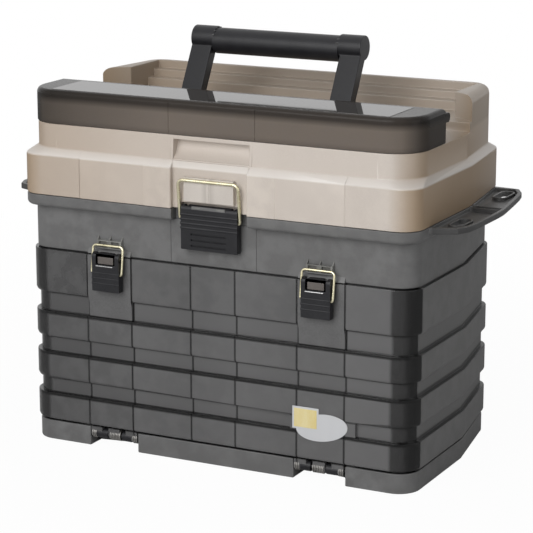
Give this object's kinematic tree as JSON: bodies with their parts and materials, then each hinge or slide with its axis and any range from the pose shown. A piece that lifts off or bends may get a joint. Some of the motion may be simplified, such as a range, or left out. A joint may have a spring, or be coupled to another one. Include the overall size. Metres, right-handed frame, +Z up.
{
  "type": "fishing tackle cabinet",
  "caption": "Banded tackle cabinet with drawers behind a drop-down smoke door, a bulk tub with side grips, and a latched lid with a covered tray and a folding handle.",
  "frame": {"origin": "middle of the underside of the plinth", "axes": "+X to the right of someone facing the door, +Y to the back, +Z up"},
  "size_m": [0.5318, 0.2898, 0.4446],
  "materials": {
    "graphite_plastic": "satin, fine grain",
    "champagne_plastic": "metallic satin",
    "smoke_cover": "brown smoke, translucent",
    "smoke_door": "grey smoke, translucent",
    "smoke_drawer": "grey smoke, translucent",
    "black_plastic": "satin",
    "brass_wire": "bright plated wire",
    "steel_pin": "bright",
    "white_label": "gloss film"
  },
  "bodies": {
    "cabinet": {"base_plinth": "graphite_plastic", "bay_floor": "graphite_plastic", "housing": "graphite_plastic", "grip_flange": "graphite_plastic", "runner_left": "graphite_plastic", "runner_right": "graphite_plastic", "door_pin_left": "steel_pin", "door_pin_right": "steel_pin", "lid_pin_left": "steel_pin", "lid_pin_right": "steel_pin", "keeper_left": "graphite_plastic", "keeper_right": "graphite_plastic", "latch_bracket": "black_plastic"},
    "lid": {"lid": "champagne_plastic", "lid_keeper": "champagne_plastic", "handle_pin_left": "steel_pin", "handle_pin_right": "steel_pin"},
    "top_cover": {"top_cover": "smoke_cover"},
    "handle": {"handle_arm_left": "black_plastic", "handle_arm_right": "black_plastic", "handle_grip": "black_plastic"},
    "latch_lever": {"latch_lever": "black_plastic", "latch_pin": "steel_pin"},
    "latch_bail": {"latch_bail": "brass_wire"},
    "door": {"door": "smoke_door", "door_label": "white_label", "door_bracket_left": "black_plastic", "door_bracket_right": "black_plastic"},
    "lever_left": {"lever_left": "black_plastic", "lever_pin_left": "steel_pin"},
    "bail_left": {"bail_left": "brass_wire"},
    "lever_right": {"lever_right": "black_plastic", "lever_pin_right": "steel_pin"},
    "bail_right": {"bail_right": "brass_wire"},
    "drawer_1": {"drawer_1": "smoke_drawer"},
    "drawer_2": {"drawer_2": "smoke_drawer"},
    "drawer_3": {"drawer_3": "smoke_drawer"},
    "drawer_4": {"drawer_4": "smoke_drawer"}
  },
  "joints": [
    {"name": "lid_hinge", "type": "hinge", "parent": "cabinet", "child": "lid", "pos_m": [0, 0.1446, 0.275], "axis": [-1, 0, 0], "range_deg": [0, 100]},
    {"name": "cover_hinge", "type": "hinge", "parent": "lid", "child": "top_cover", "pos_m": [0, -0.045, 0.378], "axis": [-1, 0, 0], "range_deg": [0, 90]},
    {"name": "handle_fold", "type": "hinge", "parent": "lid", "child": "handle", "pos_m": [0, -0.0105, 0.364], "axis": [1, 0, 0], "range_deg": [-58, 29]},
    {"name": "latch_lever_pivot", "type": "hinge", "parent": "cabinet", "child": "latch_lever", "pos_m": [0, -0.1316, 0.276], "axis": [-1, 0, 0], "range_deg": [0, 110]},
    {"name": "latch_bail_pivot", "type": "hinge", "parent": "latch_lever", "child": "latch_bail", "pos_m": [0, -0.1335, 0.266], "axis": [-1, 0, 0], "range_deg": [-132, 0]},
    {"name": "door_hinge", "type": "hinge", "parent": "cabinet", "child": "door", "pos_m": [0, -0.123, 0.015], "axis": [1, 0, 0], "range_deg": [0, 85]},
    {"name": "lever_left_pivot", "type": "hinge", "parent": "door", "child": "lever_left", "pos_m": [-0.123, -0.1346, 0.215], "axis": [-1, 0, 0], "range_deg": [0, 110]},
    {"name": "bail_left_pivot", "type": "hinge", "parent": "lever_left", "child": "bail_left", "pos_m": [-0.123, -0.1365, 0.197], "axis": [-1, 0, 0], "range_deg": [-132, 0]},
    {"name": "lever_right_pivot", "type": "hinge", "parent": "door", "child": "lever_right", "pos_m": [0.123, -0.1346, 0.215], "axis": [-1, 0, 0], "range_deg": [0, 110]},
    {"name": "bail_right_pivot", "type": "hinge", "parent": "lever_right", "child": "bail_right", "pos_m": [0.123, -0.1365, 0.197], "axis": [-1, 0, 0], "range_deg": [-132, 0]},
    {"name": "drawer_1_slide", "type": "slide", "parent": "cabinet", "child": "drawer_1", "axis": [0, -1, 0], "range_m": [0, 0.0535]},
    {"name": "drawer_2_slide", "type": "slide", "parent": "cabinet", "child": "drawer_2", "axis": [0, -1, 0], "range_m": [0, 0.1336]},
    {"name": "drawer_3_slide", "type": "slide", "parent": "cabinet", "child": "drawer_3", "axis": [0, -1, 0], "range_m": [0, 0.1662]},
    {"name": "drawer_4_slide", "type": "slide", "parent": "cabinet", "child": "drawer_4", "axis": [0, -1, 0], "range_m": [0, 0.1899]}
  ],
  "couplings": [
    {"joint": "latch_bail_pivot", "follows": "latch_lever_pivot", "ratio": -1.2},
    {"joint": "bail_left_pivot", "follows": "lever_left_pivot", "ratio": -1.2},
    {"joint": "bail_right_pivot", "follows": "lever_right_pivot", "ratio": -1.2},
    {"joint": "drawer_1_slide", "follows": "door_hinge", "m_per_rad": 0.036},
    {"joint": "drawer_2_slide", "follows": "door_hinge", "m_per_rad": 0.09},
    {"joint": "drawer_3_slide", "follows": "door_hinge", "m_per_rad": 0.112},
    {"joint": "drawer_4_slide", "follows": "door_hinge", "m_per_rad": 0.128}
  ]
}
